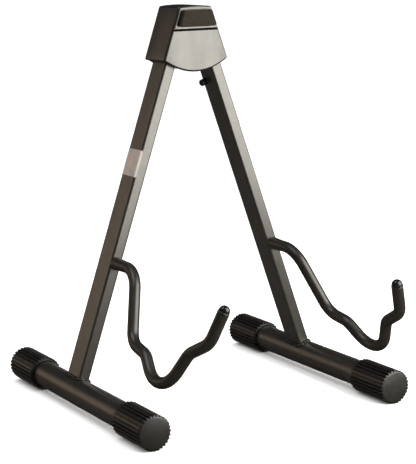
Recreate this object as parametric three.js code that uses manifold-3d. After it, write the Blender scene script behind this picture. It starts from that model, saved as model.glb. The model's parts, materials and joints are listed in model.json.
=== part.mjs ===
// A folding A-frame floor stand for a guitar, in millimetres, +Z up.
//
// Two legs of rectangular tube hang on pivot bolts in a moulded head. Each leg stands on a round foot
// tube with ribbed rubber caps, and carries a bent arm in a rubber sleeve. The front of the stand faces -Y,
// its left leg is on -X. The legs are modelled open. They fold inwards until they are parallel.

import * as THREE from 'three';
import { mergeVertices } from 'three/addons/utils/BufferGeometryUtils.js';
import Module from 'manifold-3d';

const wasm = await Module();
wasm.setup();

// ---------------------------------------------------------------------------------------------------------
// Driving dimensions
// ---------------------------------------------------------------------------------------------------------

// Gap between pieces that touch.
const GAP = 0.3;
// Extra length that takes a cutting tool through the far side of a wall.
const THROUGH = 1;

// Frame. Folded, the legs hang parallel with a gap between the caps of their feet.
const LEG_ANGLE = THREE.MathUtils.degToRad(19);
const PIVOT_HEIGHT = 372;
const FOLDED_GAP = 4.2;

// Foot tube and its caps. Tops and roots of the ribs are shares of the pitch from rib to rib.
const FOOT_DIAMETER = 28;
const FOOT_WALL = 1.2;
const FOOT_FRONT_REACH = 179;
const FOOT_REAR_REACH = 131;
const CAP_WALL = 4;
const CAP_LENGTH = 57.5;
const CAP_END_WALL = 4;
const CAP_RIBS = 28;
const CAP_RIB_TOP_SHARE = 0.6;
const CAP_RIB_ROOT_SHARE = 0.76;
const CAP_GROOVE_DEPTH = 1.5;
const CAP_FACE_INSET = 1.3;
const CAP_FACE_STEP = 0.5;
const CAP_FACE_DOME = 1.0;

// Leg tube, its thickness across the stand and its depth from front to back
const LEG_THICKNESS = 12.5;
const LEG_DEPTH = 29;
const LEG_WALL = 1.2;
const LEG_CORNER_RADIUS = 1.6;
const LEG_ABOVE_PIVOT = 7;

// Cradle arm: a rod bent in the plane of its leg. Each bend has its corner's place, forward of the leg's
// centre line and along the leg above the foot tube's axis, and its radius.
const ARM_ROOT_HEIGHT = 139.8;
const ARM_BENDS = [
  { forward: 58.1, height: ARM_ROOT_HEIGHT, radius: 31 },
  { forward: 90.8, height: 70.9, radius: 24 },
  { forward: 122.1, height: 65.7, radius: 20 },
  { forward: 167.0, height: 28.3, radius: 33.8 },
  { forward: 199.0, height: 83.8, radius: 20 },
  { forward: 228.8, height: 99.8, radius: 20 },
];
const ARM_END = { forward: 237.6, height: 132.8 };
const ROD_DIAMETER = 7;
const SLEEVE_CLEARANCE = 0.7;
const SLEEVE_WALL = 1.8;
const TIP_WALL = 1.7;
const TIP_LENGTH = 6;
const TIP_DOME = 5;
const TIP_SOCKET_DEPTH = 2.5;

// Lock button on the leg's inner face, close to the leg's rear wall
const BUTTON_DIAMETER = 7.3;
const BUTTON_PROUD = 7.5;
const BUTTON_DOME = 2.9;
const BUTTON_BELOW_PIVOT = 41.4;
const BUTTON_FLANGE_LIP = 0.85;
const BUTTON_FLANGE_THICKNESS = 1;
const SPRING_DIAMETER = 6.4;
const SPRING_WIRE = 0.7;
const SPRING_TURNS = 4;

// Label on the left leg's outer side
const LABEL_HEIGHT = 28.5;
const LABEL_BELOW_PIVOT = 143;
const LABEL_THICKNESS = 0.4;
const LABEL_FRONT_LAP = 2;

// Head, its heights measured from the pivots
const HEAD_TOP_ABOVE_PIVOT = 39.8;
const HEAD_TOP_CROWN = 1.2;
const HEAD_CORNER_BELOW_PIVOT = 14.8;
const HEAD_BOTTOM_DROP = 12.8;
const HEAD_WALL = 1.8;
const LEG_TO_HEAD_SIDE = 6.15;
const GROOVE_ABOVE_PIVOT = 16.2;
const GROOVE_WIDTH = 1.4;
const GROOVE_DEPTH = 0.9;

// Rest pad and the raised frame around it
const FRAME_TOP_BELOW_HEAD_TOP = 0.8;
const FRAME_BOTTOM_ABOVE_GROOVE = 1.2;
const FRAME_SIDE_INSET = 1.4;
const FRAME_WIDTH = 1.3;
const FRAME_PROUD = 0.9;
const FRAME_CORNER_RADIUS = 2;
const PAD_INSET = 0.7;
const PAD_PROUD = 7;

// Hinge hardware inside the head
const BOLT_DIAMETER = 6;
const BOLT_HEAD_DIAMETER = 11;
const BOLT_HEAD_HEIGHT = 2.2;
const NUT_ACROSS_CORNERS = 11.5;
const NUT_HEIGHT = 2.2;
const WASHER_DIAMETER = 14;
const WASHER_THICKNESS = 0.5;
const BRACKET_THICKNESS = 1.2;
const BRACKET_OVER_LEG = 2.9;
const BRACKET_BELOW_PIVOT = 11;
const FASTENER_TO_HEAD = 0.4;
const PIVOT_SLEEVE_TO_LEG_WALL = 0.55;
const STOP_BLOCK_BELOW_PIVOT = 7;

// Screws from the back
const SCREW_SHANK_DIAMETER = 4;
const SCREW_BOSS_WALL = 2.4;
const SCREW_HEAD_DIAMETER = 7.6;
const SCREW_HEAD_HEIGHT = 2.2;
const SCREW_HEAD_SUNK = 0.3;
const PLATE_BOSS_WALL = 1.4;
const HUB_SCREW_BELOW_PIVOT = 1;
const UPPER_SCREW_ABOVE_PIVOT = 26;
const UPPER_SCREW_LENGTH = 14;

// Facets of the round shapes
const HARDWARE_SIDES = 20;
const SHANK_SIDES = 14;
const FOOT_SIDES = 36;
const SLEEVE_SIDES = 10;
const ROD_SIDES = 8;
const WIRE_SIDES = 5;
const DOME_SIDES = 16;
const DOME_STEPS = 4;
const CAP_FACE_STEPS = 3;
const CORNER_STEPS = 3;
const HEAD_CURVE_STEPS = 9;
const ARM_STEPS = 42;
const SPRING_STEPS_PER_TURN = 9;

// ---------------------------------------------------------------------------------------------------------
// Sizes that follow from the driving dimensions
// ---------------------------------------------------------------------------------------------------------

const FOOT_RADIUS = FOOT_DIAMETER / 2;
const CAP_RADIUS = FOOT_RADIUS + CAP_WALL;
const PIVOT_HALF_SPACING = CAP_RADIUS + FOLDED_GAP / 2;
const PIVOT_RISE = PIVOT_HEIGHT - CAP_RADIUS;
const PIVOT_ALONG_LEG = PIVOT_RISE / Math.cos(LEG_ANGLE);
const FOOT_HALF_SPACING = PIVOT_HALF_SPACING + PIVOT_RISE * Math.tan(LEG_ANGLE);

const ROD_RADIUS = ROD_DIAMETER / 2;
const SLEEVE_BORE_RADIUS = ROD_RADIUS + SLEEVE_CLEARANCE;
const SLEEVE_RADIUS = SLEEVE_BORE_RADIUS + SLEEVE_WALL;
const TIP_SOCKET_RADIUS = ROD_RADIUS + GAP;
const TIP_RADIUS = TIP_SOCKET_RADIUS + TIP_WALL;

const BUTTON_RADIUS = BUTTON_DIAMETER / 2;
const BUTTON_FLANGE_RADIUS = BUTTON_RADIUS + BUTTON_FLANGE_LIP;
const BUTTON_HEIGHT = PIVOT_ALONG_LEG - BUTTON_BELOW_PIVOT;
const BUTTON_BEHIND_CENTRE = LEG_DEPTH / 2 - LEG_WALL - GAP - BUTTON_FLANGE_RADIUS;

// Layers of the hinge from the leg's face outwards, as distances from the middle plane of the leg.
const WASHER_INNER = LEG_DEPTH / 2 + GAP;
const WASHER_OUTER = WASHER_INNER + WASHER_THICKNESS;
const PLATE_INNER = WASHER_OUTER + GAP;
const PLATE_OUTER = PLATE_INNER + BRACKET_THICKNESS;
const FASTENER_INNER = PLATE_OUTER + GAP;
const HEAD_INNER = FASTENER_INNER + Math.max(BOLT_HEAD_HEIGHT, NUT_HEIGHT) + FASTENER_TO_HEAD;
const HEAD_OUTER = HEAD_INNER + HEAD_WALL;

const HEAD_TOP = PIVOT_HEIGHT + HEAD_TOP_ABOVE_PIVOT;
const HEAD_CORNER = PIVOT_HEIGHT - HEAD_CORNER_BELOW_PIVOT;
const GROOVE_HEIGHT = PIVOT_HEIGHT + GROOVE_ABOVE_PIVOT;
const HEAD_SIDE_FROM_PIVOT = (LEG_THICKNESS / 2 + LEG_TO_HEAD_SIDE) / Math.cos(LEG_ANGLE);

const BOLT_RADIUS = BOLT_DIAMETER / 2;
const BOLT_HOLE_RADIUS = BOLT_RADIUS + GAP;
const PIVOT_SLEEVE_RADIUS = LEG_THICKNESS / 2 - LEG_WALL - PIVOT_SLEEVE_TO_LEG_WALL;
const BRACKET_TOP = PIVOT_HEIGHT + Math.hypot(LEG_ABOVE_PIVOT, LEG_THICKNESS / 2) + BRACKET_OVER_LEG
  + BRACKET_THICKNESS;

const SCREW_RADIUS = SCREW_SHANK_DIAMETER / 2;
const SCREW_HOLE_RADIUS = SCREW_RADIUS + GAP;
const SCREW_HEAD_RADIUS = SCREW_HEAD_DIAMETER / 2;
const BOSS_RADIUS = SCREW_HOLE_RADIUS + SCREW_BOSS_WALL;
const COUNTERBORE_RADIUS = SCREW_HEAD_RADIUS + GAP;
const SCREW_UNDER_HEAD = HEAD_OUTER - SCREW_HEAD_SUNK - SCREW_HEAD_HEIGHT;
const COUNTERBORE_FLOOR = SCREW_UNDER_HEAD - GAP;
const PLATE_BOSS_RADIUS = COUNTERBORE_RADIUS + PLATE_BOSS_WALL;
const HUB_SCREW_HEIGHT = PIVOT_HEIGHT - HUB_SCREW_BELOW_PIVOT;
const HUB_SCREW_LENGTH = SCREW_UNDER_HEAD + HEAD_INNER - GAP;
const UPPER_SCREW_HEIGHT = PIVOT_HEIGHT + UPPER_SCREW_ABOVE_PIVOT;
const UPPER_BOSS_END = FASTENER_INNER + GAP;

// Half width of the head's outside at a height: its sides run parallel to the open legs. An inset is measured
// square to the side.
function headHalfWidth(height, inset = 0) {
  const side = PIVOT_HALF_SPACING + HEAD_SIDE_FROM_PIVOT - (height - PIVOT_HEIGHT) * Math.tan(LEG_ANGLE);
  return side - inset / Math.cos(LEG_ANGLE);
}

// ---------------------------------------------------------------------------------------------------------
// Materials
// ---------------------------------------------------------------------------------------------------------

function material(name, color, roughness, metalness) {
  return new THREE.MeshStandardMaterial({ name, color, roughness, metalness });
}

const blackPaint = () => material('black_paint', 0x1d1b1a, 0.35, 0.2);
const blackPlastic = () => material('black_plastic', 0x1a1918, 0.3, 0);
const blackRubber = () => material('black_rubber', 0x121110, 0.6, 0);
const sleeveRubber = () => material('sleeve_rubber', 0x171614, 0.5, 0);
const padFoam = () => material('pad_foam', 0x3a3129, 0.9, 0);
const zincSteel = () => material('zinc_steel', 0xb4b6b8, 0.35, 1);
const springSteel = () => material('spring_steel', 0x8f9194, 0.3, 1);
const nylon = () => material('nylon', 0x2b2b2b, 0.5, 0);
const labelFilm = () => material('label_film', 0x77797a, 0.4, 0);

// ---------------------------------------------------------------------------------------------------------
// Solids and booleans
// ---------------------------------------------------------------------------------------------------------

function toSolid(geometry) {
  const bare = geometry.clone();
  bare.deleteAttribute('normal');
  bare.deleteAttribute('uv');
  const merged = mergeVertices(bare, 1e-4);
  return new wasm.Manifold(
    new wasm.Mesh({
      numProp: 3,
      vertProperties: new Float32Array(merged.attributes.position.array),
      triVerts: new Uint32Array(merged.index.array),
    }),
  );
}

function toGeometry(solid) {
  const mesh = solid.getMesh();
  const geometry = new THREE.BufferGeometry();
  geometry.setAttribute('position', new THREE.BufferAttribute(mesh.vertProperties, 3));
  geometry.setIndex(new THREE.BufferAttribute(mesh.triVerts, 1));
  geometry.computeVertexNormals();
  return geometry;
}

function cut(geometry, tools) {
  return toGeometry(tools.reduce((body, tool) => body.subtract(toSolid(tool)), toSolid(geometry)));
}

function join(geometry, others) {
  return toGeometry(others.reduce((body, other) => body.add(toSolid(other)), toSolid(geometry)));
}

// A cylinder along Y or X from one coordinate to another, centred on the other two.
function rodAlongY(radius, from, to, centre = [0, 0], sides = HARDWARE_SIDES) {
  const geometry = new THREE.CylinderGeometry(radius, radius, to - from, sides);
  return geometry.translate(centre[0], (from + to) / 2, centre[1]);
}

function rodAlongX(radius, from, to, centre, sides = HARDWARE_SIDES) {
  return rodAlongY(radius, -to, -from, [0, 0], sides).rotateZ(Math.PI / 2).translate(0, centre[0], centre[1]);
}

// A ring along Y with a square section.
function ringAlongY(outerRadius, innerRadius, from, to, sides) {
  const profile = [
    new THREE.Vector2(innerRadius, from),
    new THREE.Vector2(outerRadius, from),
    new THREE.Vector2(outerRadius, to),
    new THREE.Vector2(innerRadius, to),
    new THREE.Vector2(innerRadius, from),
  ];
  return new THREE.LatheGeometry(profile, sides);
}

// Profile points of a rounded end, from the shoulder's radius and height to the axis at the top.
function domePoints(radius, shoulder, top, steps) {
  const points = [];
  for (let step = 0; step < steps; step += 1) {
    const angle = ((step / steps) * Math.PI) / 2;
    points.push(new THREE.Vector2(radius * Math.cos(angle), shoulder + (top - shoulder) * Math.sin(angle)));
  }
  points.push(new THREE.Vector2(0, top));
  return points;
}

// A shape drawn in X and Z, made into a plate from one Y to another.
function plateAlongY(shape, from, to, curveSegments = HEAD_CURVE_STEPS) {
  const geometry = new THREE.ExtrudeGeometry(shape, {
    depth: to - from,
    bevelEnabled: false,
    curveSegments,
  });
  return geometry.rotateX(Math.PI / 2).translate(0, to, 0);
}

function polygon(points) {
  return new THREE.Shape(points.map(([x, y]) => new THREE.Vector2(x, y)));
}

// A closed outline through corners, each rounded with an arc of its own radius.
function roundedPolygon(corners, radius) {
  const shape = new THREE.Shape();
  corners.forEach((corner, index) => {
    const before = corners[(index + corners.length - 1) % corners.length];
    const after = corners[(index + 1) % corners.length];
    const start = pointTowards(corner, before, radius);
    const end = pointTowards(corner, after, radius);
    if (index === 0) {
      shape.moveTo(start[0], start[1]);
    } else {
      shape.lineTo(start[0], start[1]);
    }
    shape.quadraticCurveTo(corner[0], corner[1], end[0], end[1]);
  });
  shape.closePath();
  return shape;
}

function pointTowards(from, to, distance) {
  const length = Math.hypot(to[0] - from[0], to[1] - from[1]);
  return [
    from[0] + ((to[0] - from[0]) * distance) / length,
    from[1] + ((to[1] - from[1]) * distance) / length,
  ];
}

function rectangle(width, depth) {
  return [
    [-width / 2, -depth / 2],
    [width / 2, -depth / 2],
    [width / 2, depth / 2],
    [-width / 2, depth / 2],
  ];
}

function piece(name, geometry, finish) {
  const mesh = new THREE.Mesh(geometry, finish);
  mesh.name = name;
  return mesh;
}

// ---------------------------------------------------------------------------------------------------------
// Head
// ---------------------------------------------------------------------------------------------------------

// The head's outline, drawn in X and Z: slanted sides, a crowned top and one bow along the bottom. An inset
// moves the sides and the top inwards for the cavity and the back plate. The cavity runs out straight below.
function headOutline(inset, bowed = true) {
  const top = HEAD_TOP - inset;
  const topHalf = headHalfWidth(top, inset);
  const lowest = HEAD_CORNER - 2 * HEAD_BOTTOM_DROP;
  const bottom = bowed ? HEAD_CORNER : lowest;
  const bottomHalf = headHalfWidth(bottom, inset);
  const shape = new THREE.Shape();
  shape.moveTo(-bottomHalf, bottom);
  if (bowed) {
    shape.quadraticCurveTo(0, lowest, bottomHalf, bottom);
  } else {
    shape.lineTo(bottomHalf, bottom);
  }
  shape.lineTo(topHalf, top);
  shape.quadraticCurveTo(0, top + 2 * HEAD_TOP_CROWN, -topHalf, top);
  shape.closePath();
  return shape;
}

// Corners of a trapezoid between two heights, its sides set in from the head's sides.
function headTrapezoid(bottom, top, inset) {
  const bottomHalf = headHalfWidth(bottom, inset);
  const topHalf = headHalfWidth(top, inset);
  return [
    [-bottomHalf, bottom],
    [bottomHalf, bottom],
    [topHalf, top],
    [-topHalf, top],
  ];
}

// Corners of the raised frame, with an inset from its outer edge.
function frameCorners(inset) {
  const top = HEAD_TOP - FRAME_TOP_BELOW_HEAD_TOP - inset;
  const bottom = GROOVE_HEIGHT + FRAME_BOTTOM_ABOVE_GROOVE + inset;
  return headTrapezoid(bottom, top, FRAME_SIDE_INSET + inset);
}

function raisedFrame() {
  const shape = roundedPolygon(frameCorners(0), FRAME_CORNER_RADIUS);
  const inner = roundedPolygon(frameCorners(FRAME_WIDTH), FRAME_CORNER_RADIUS - FRAME_WIDTH / 2);
  shape.holes.push(inner);
  const rootInWall = HEAD_WALL / 2;
  return plateAlongY(shape, -HEAD_OUTER - FRAME_PROUD, -HEAD_OUTER + rootInWall, CORNER_STEPS);
}

// A groove across the front face below the frame.
function frontGroove() {
  const bottom = GROOVE_HEIGHT - GROOVE_WIDTH / 2;
  const shape = polygon(headTrapezoid(bottom, bottom + GROOVE_WIDTH, -THROUGH));
  return plateAlongY(shape, -HEAD_OUTER - THROUGH, -HEAD_OUTER + GROOVE_DEPTH);
}

// The shell is open at the back and below. Two bosses behind its front wall take the screws.
function headCover() {
  const shell = plateAlongY(headOutline(0), -HEAD_OUTER, HEAD_OUTER);
  const cavity = plateAlongY(headOutline(HEAD_WALL, false), -HEAD_INNER, HEAD_OUTER + THROUGH);
  const hollow = cut(shell, [cavity, frontGroove()]);
  const bossRoot = -HEAD_INNER - HEAD_WALL / 2;
  const hubBoss = rodAlongY(BOSS_RADIUS, bossRoot, -FASTENER_INNER, [0, HUB_SCREW_HEIGHT]);
  const upperBoss = rodAlongY(BOSS_RADIUS, bossRoot, UPPER_BOSS_END, [0, UPPER_SCREW_HEIGHT]);
  const bossed = join(hollow, [raisedFrame(), hubBoss, upperBoss]);
  const upperHoleEnd = SCREW_UNDER_HEAD - UPPER_SCREW_LENGTH - GAP;
  return cut(bossed, [
    rodAlongY(SCREW_HOLE_RADIUS, -HEAD_INNER - GAP, 0, [0, HUB_SCREW_HEIGHT]),
    rodAlongY(SCREW_HOLE_RADIUS, upperHoleEnd, UPPER_BOSS_END + THROUGH, [0, UPPER_SCREW_HEIGHT]),
  ]);
}

// The back plate lies inside the shell's rear opening. Its two bosses take the screw heads.
function headBackPlate() {
  const plate = plateAlongY(headOutline(HEAD_WALL + GAP), HEAD_INNER, HEAD_OUTER);
  const screws = [
    [HUB_SCREW_HEIGHT, FASTENER_INNER],
    [UPPER_SCREW_HEIGHT, UPPER_BOSS_END + GAP],
  ];
  const bosses = screws.map(([height, from]) =>
    rodAlongY(PLATE_BOSS_RADIUS, from, HEAD_INNER + HEAD_WALL / 2, [0, height]),
  );
  const holes = screws.flatMap(([height, from]) => [
    rodAlongY(SCREW_HOLE_RADIUS, from - THROUGH, HEAD_OUTER + THROUGH, [0, height]),
    rodAlongY(COUNTERBORE_RADIUS, COUNTERBORE_FLOOR, HEAD_OUTER + THROUGH, [0, height]),
  ]);
  return cut(join(plate, bosses), holes);
}

function screwAlongY(length, height) {
  const middle = SCREW_UNDER_HEAD + SCREW_HEAD_HEIGHT / 2;
  const top = SCREW_UNDER_HEAD + SCREW_HEAD_HEIGHT;
  const head = rodAlongY(SCREW_HEAD_RADIUS, SCREW_UNDER_HEAD, top, [0, height]);
  const shank = rodAlongY(SCREW_RADIUS, SCREW_UNDER_HEAD - length, middle, [0, height], SHANK_SIDES);
  return join(head, [shank]);
}

// The pad fills the raised frame and stands proud of it.
function restPad() {
  const outline = roundedPolygon(frameCorners(FRAME_WIDTH + PAD_INSET), FRAME_CORNER_RADIUS);
  return plateAlongY(outline, -HEAD_OUTER - PAD_PROUD, -HEAD_OUTER - GAP, CORNER_STEPS);
}

// A folded channel: two plates beside the legs and a web over their tops.
function hingeBracket() {
  const bottom = PIVOT_HEIGHT - BRACKET_BELOW_PIVOT;
  const outline = polygon(headTrapezoid(bottom, BRACKET_TOP, HEAD_WALL + 2 * GAP));
  const block = plateAlongY(outline, -PLATE_OUTER, PLATE_OUTER);
  const height = BRACKET_TOP - BRACKET_THICKNESS - bottom + THROUGH;
  const inside = new THREE.BoxGeometry(2 * headHalfWidth(bottom), 2 * PLATE_INNER, height);
  inside.translate(0, 0, BRACKET_TOP - BRACKET_THICKNESS - height / 2);
  const holes = [-1, 1].map((side) =>
    rodAlongY(BOLT_HOLE_RADIUS, -HEAD_OUTER, HEAD_OUTER, [side * PIVOT_HALF_SPACING, PIVOT_HEIGHT]),
  );
  const screwHole = rodAlongY(SCREW_HOLE_RADIUS, -HEAD_OUTER, HEAD_OUTER, [0, HUB_SCREW_HEIGHT]);
  return cut(block, [inside, ...holes, screwHole]);
}

// The block's upper flanks are parallel to the legs' inner faces, a gap away from them. Below the pivots it
// stays narrow enough for the legs to fold parallel. Its hub reaches the bracket's plates past the washers.
function stopBlock() {
  const offset = (LEG_THICKNESS / 2 + GAP) / Math.cos(LEG_ANGLE);
  const legTop = PIVOT_HEIGHT + LEG_ABOVE_PIVOT * Math.cos(LEG_ANGLE);
  const top = legTop - (LEG_THICKNESS * Math.sin(LEG_ANGLE)) / 2;
  const half = PIVOT_HALF_SPACING - offset;
  const topHalf = half - (top - PIVOT_HEIGHT) * Math.tan(LEG_ANGLE);
  const bottom = PIVOT_HEIGHT - STOP_BLOCK_BELOW_PIVOT;
  const outline = polygon([
    [-half, bottom],
    [half, bottom],
    [half, PIVOT_HEIGHT],
    [topHalf, top],
    [-topHalf, top],
    [-half, PIVOT_HEIGHT],
  ]);
  const block = plateAlongY(outline, -LEG_DEPTH / 2, LEG_DEPTH / 2);
  const hub = rodAlongY(BOSS_RADIUS, -WASHER_OUTER, WASHER_OUTER, [0, HUB_SCREW_HEIGHT]);
  const bore = rodAlongY(SCREW_HOLE_RADIUS, -HEAD_OUTER, HEAD_OUTER, [0, HUB_SCREW_HEIGHT]);
  return cut(join(block, [hub]), [bore]);
}

// A low-headed bolt with its head in front, ending level with its nut.
function pivotBolt() {
  const headTop = -FASTENER_INNER - BOLT_HEAD_HEIGHT;
  const head = rodAlongY(BOLT_HEAD_DIAMETER / 2, headTop, -FASTENER_INNER);
  const shankFrom = headTop + BOLT_HEAD_HEIGHT / 2;
  const shank = rodAlongY(BOLT_RADIUS, shankFrom, FASTENER_INNER + NUT_HEIGHT, [0, 0], SHANK_SIDES);
  return join(head, [shank]);
}

function pivotNut() {
  const hexagon = 6;
  const to = FASTENER_INNER + NUT_HEIGHT;
  const body = rodAlongY(NUT_ACROSS_CORNERS / 2, FASTENER_INNER, to, [0, 0], hexagon);
  return cut(body, [rodAlongY(BOLT_HOLE_RADIUS, 0, HEAD_OUTER)]);
}

function pivotWasher() {
  return ringAlongY(WASHER_DIAMETER / 2, BOLT_HOLE_RADIUS, WASHER_INNER, WASHER_OUTER, HARDWARE_SIDES);
}

function buildHead() {
  const head = new THREE.Group();
  head.add(piece('head_cover', headCover(), blackPlastic()));
  head.add(piece('head_back_plate', headBackPlate(), blackPlastic()));
  head.add(piece('rest_pad', restPad(), padFoam()));
  head.add(piece('hinge_bracket', hingeBracket(), zincSteel()));
  head.add(piece('stop_block', stopBlock(), nylon()));
  head.add(piece('hub_screw', screwAlongY(HUB_SCREW_LENGTH, HUB_SCREW_HEIGHT), zincSteel()));
  head.add(piece('back_plate_screw', screwAlongY(UPPER_SCREW_LENGTH, UPPER_SCREW_HEIGHT), zincSteel()));
  for (const [label, side] of [['left', -1], ['right', 1]]) {
    const hinge = new THREE.Group();
    hinge.position.set(side * PIVOT_HALF_SPACING, 0, PIVOT_HEIGHT);
    hinge.add(piece(`${label}_pivot_bolt`, pivotBolt(), zincSteel()));
    hinge.add(piece(`${label}_pivot_nut`, pivotNut(), zincSteel()));
    const frontWasher = piece(`${label}_front_washer`, pivotWasher(), nylon());
    frontWasher.rotation.z = Math.PI;
    hinge.add(frontWasher);
    hinge.add(piece(`${label}_rear_washer`, pivotWasher(), nylon()));
    head.add(hinge);
  }
  return head;
}

// ---------------------------------------------------------------------------------------------------------
// Foot tube and caps
// ---------------------------------------------------------------------------------------------------------

function footTube() {
  const from = -FOOT_FRONT_REACH + CAP_END_WALL + GAP;
  const to = FOOT_REAR_REACH - CAP_END_WALL - GAP;
  return ringAlongY(FOOT_RADIUS, FOOT_RADIUS - FOOT_WALL, from, to, FOOT_SIDES);
}

// The cap's ribbed section: flat-topped ribs with one of them lowest, so that its top lies on the floor.
function ribbedSection() {
  const pitch = (2 * Math.PI) / CAP_RIBS;
  const topHalf = (pitch * CAP_RIB_TOP_SHARE) / 2;
  const rootHalf = (pitch * CAP_RIB_ROOT_SHARE) / 2;
  const topRadius = CAP_RADIUS / Math.cos(topHalf);
  const rootRadius = CAP_RADIUS - CAP_GROOVE_DEPTH;
  const points = [];
  for (let rib = 0; rib < CAP_RIBS; rib += 1) {
    const middle = -Math.PI / 2 + rib * pitch;
    const corners = [
      [rootRadius, middle - rootHalf],
      [topRadius, middle - topHalf],
      [topRadius, middle + topHalf],
      [rootRadius, middle + rootHalf],
    ];
    for (const [radius, angle] of corners) {
      points.push([radius * Math.cos(angle), radius * Math.sin(angle)]);
    }
  }
  return polygon(points);
}

// A cap along +Y, its mouth at 0 and its domed face at CAP_LENGTH.
function footCap() {
  const faceRadius = CAP_RADIUS - CAP_FACE_INSET;
  const shoulder = CAP_LENGTH - CAP_FACE_DOME;
  const floor = CAP_LENGTH - CAP_END_WALL;
  const ribs = plateAlongY(ribbedSection(), 0, shoulder - CAP_FACE_STEP);
  const profile = [
    new THREE.Vector2(0, floor),
    new THREE.Vector2(faceRadius, floor),
    ...domePoints(faceRadius, shoulder, CAP_LENGTH, CAP_FACE_STEPS),
  ];
  const face = new THREE.LatheGeometry(profile, CAP_RIBS);
  const bore = rodAlongY(FOOT_RADIUS + GAP, -THROUGH, floor, [0, 0], CAP_RIBS);
  return cut(join(ribs, [face]), [bore]);
}

// ---------------------------------------------------------------------------------------------------------
// Arm
// ---------------------------------------------------------------------------------------------------------

// The arm's centre line in the plane of the leg: straight runs joined by arcs.
class ArmCurve extends THREE.Curve {
  constructor(startForward, beyondSleeve = 0) {
    super();
    const corners = [
      [startForward, ARM_ROOT_HEIGHT],
      ...ARM_BENDS.map((bend) => [bend.forward, bend.height]),
      [ARM_END.forward, ARM_END.height],
    ];
    const end = pointTowards(corners.at(-1), corners.at(-2), -beyondSleeve);
    this.path = new THREE.Path();
    this.path.moveTo(corners[0][0], corners[0][1]);
    ARM_BENDS.forEach((bend, index) => {
      this.addBend(corners[index], corners[index + 1], corners[index + 2], bend.radius);
    });
    this.path.lineTo(end[0], end[1]);
  }

  addBend(before, corner, after, radius) {
    const inward = Math.atan2(corner[1] - before[1], corner[0] - before[0]);
    const outward = Math.atan2(after[1] - corner[1], after[0] - corner[0]);
    const turn = outward - inward;
    const side = Math.sign(turn);
    const start = pointTowards(corner, before, radius * Math.tan(Math.abs(turn) / 2));
    const centreX = start[0] - side * radius * Math.sin(inward);
    const centreY = start[1] + side * radius * Math.cos(inward);
    const from = inward - (side * Math.PI) / 2;
    this.path.lineTo(start[0], start[1]);
    this.path.absarc(centreX, centreY, radius, from, from + turn, side < 0);
  }

  getPoint(t, target = new THREE.Vector3()) {
    const point = this.path.getPoint(t);
    return target.set(0, -point.x, point.y);
  }
}

function circle(radius, sides) {
  const points = [];
  for (let index = 0; index < sides; index += 1) {
    const angle = ((index + 0.5) / sides) * 2 * Math.PI;
    points.push(new THREE.Vector2(radius * Math.cos(angle), radius * Math.sin(angle)));
  }
  return points;
}

function armSleeve() {
  const section = new THREE.Shape(circle(SLEEVE_RADIUS, SLEEVE_SIDES));
  section.holes.push(new THREE.Path(circle(SLEEVE_BORE_RADIUS, ROD_SIDES)));
  const extrudePath = new ArmCurve(LEG_DEPTH / 2 + GAP);
  return new THREE.ExtrudeGeometry(section, { steps: ARM_STEPS, extrudePath, bevelEnabled: false });
}

// The rod starts inside the leg, against its rear wall, and runs on into the tip's socket.
function armRod() {
  const section = new THREE.Shape(circle(ROD_RADIUS, ROD_SIDES));
  const extrudePath = new ArmCurve(-LEG_DEPTH / 2 + LEG_WALL + GAP, TIP_SOCKET_DEPTH - GAP);
  return new THREE.ExtrudeGeometry(section, { steps: ARM_STEPS, extrudePath, bevelEnabled: false });
}

// A domed cap over the rod's end, standing on the sleeve's end.
function armTip() {
  const profile = [
    new THREE.Vector2(0, TIP_SOCKET_DEPTH),
    new THREE.Vector2(TIP_SOCKET_RADIUS, TIP_SOCKET_DEPTH),
    new THREE.Vector2(TIP_SOCKET_RADIUS, GAP),
    new THREE.Vector2(TIP_RADIUS, GAP),
    ...domePoints(TIP_RADIUS, TIP_LENGTH - TIP_DOME, TIP_LENGTH, DOME_STEPS),
  ];
  return new THREE.LatheGeometry(profile, DOME_SIDES);
}

// ---------------------------------------------------------------------------------------------------------
// Leg
// ---------------------------------------------------------------------------------------------------------

// Everything in a leg is drawn with +Z along the leg from the foot tube's axis, +Y to the rear, and +X to the
// outside for side 1. The other leg is the same with X reversed.

function legTube(side) {
  const outer = roundedPolygon(rectangle(LEG_THICKNESS, LEG_DEPTH), LEG_CORNER_RADIUS);
  const inner = roundedPolygon(
    rectangle(LEG_THICKNESS - 2 * LEG_WALL, LEG_DEPTH - 2 * LEG_WALL),
    LEG_CORNER_RADIUS - LEG_WALL / 2,
  );
  outer.holes.push(inner);
  const tube = new THREE.ExtrudeGeometry(outer, {
    depth: PIVOT_ALONG_LEG + LEG_ABOVE_PIVOT,
    bevelEnabled: false,
    curveSegments: CORNER_STEPS,
  });
  const innerWall = (-side * LEG_THICKNESS) / 2;
  const buttonCut = [innerWall - 2 * LEG_WALL, innerWall + 2 * LEG_WALL];
  const buttonCentre = [BUTTON_BEHIND_CENTRE, BUTTON_HEIGHT];
  return cut(tube, [
    rodAlongY(FOOT_RADIUS + GAP, -LEG_DEPTH, LEG_DEPTH, [0, 0], FOOT_SIDES),
    rodAlongY(PIVOT_SLEEVE_RADIUS + GAP, -LEG_DEPTH, LEG_DEPTH, [0, PIVOT_ALONG_LEG]),
    rodAlongY(ROD_RADIUS + GAP, -LEG_DEPTH, 0, [0, ARM_ROOT_HEIGHT]),
    rodAlongX(BUTTON_RADIUS + GAP, buttonCut[0], buttonCut[1], buttonCentre),
  ]);
}

function pivotSleeve() {
  return ringAlongY(PIVOT_SLEEVE_RADIUS, BOLT_HOLE_RADIUS, -LEG_DEPTH / 2, LEG_DEPTH / 2, HARDWARE_SIDES);
}

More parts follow.
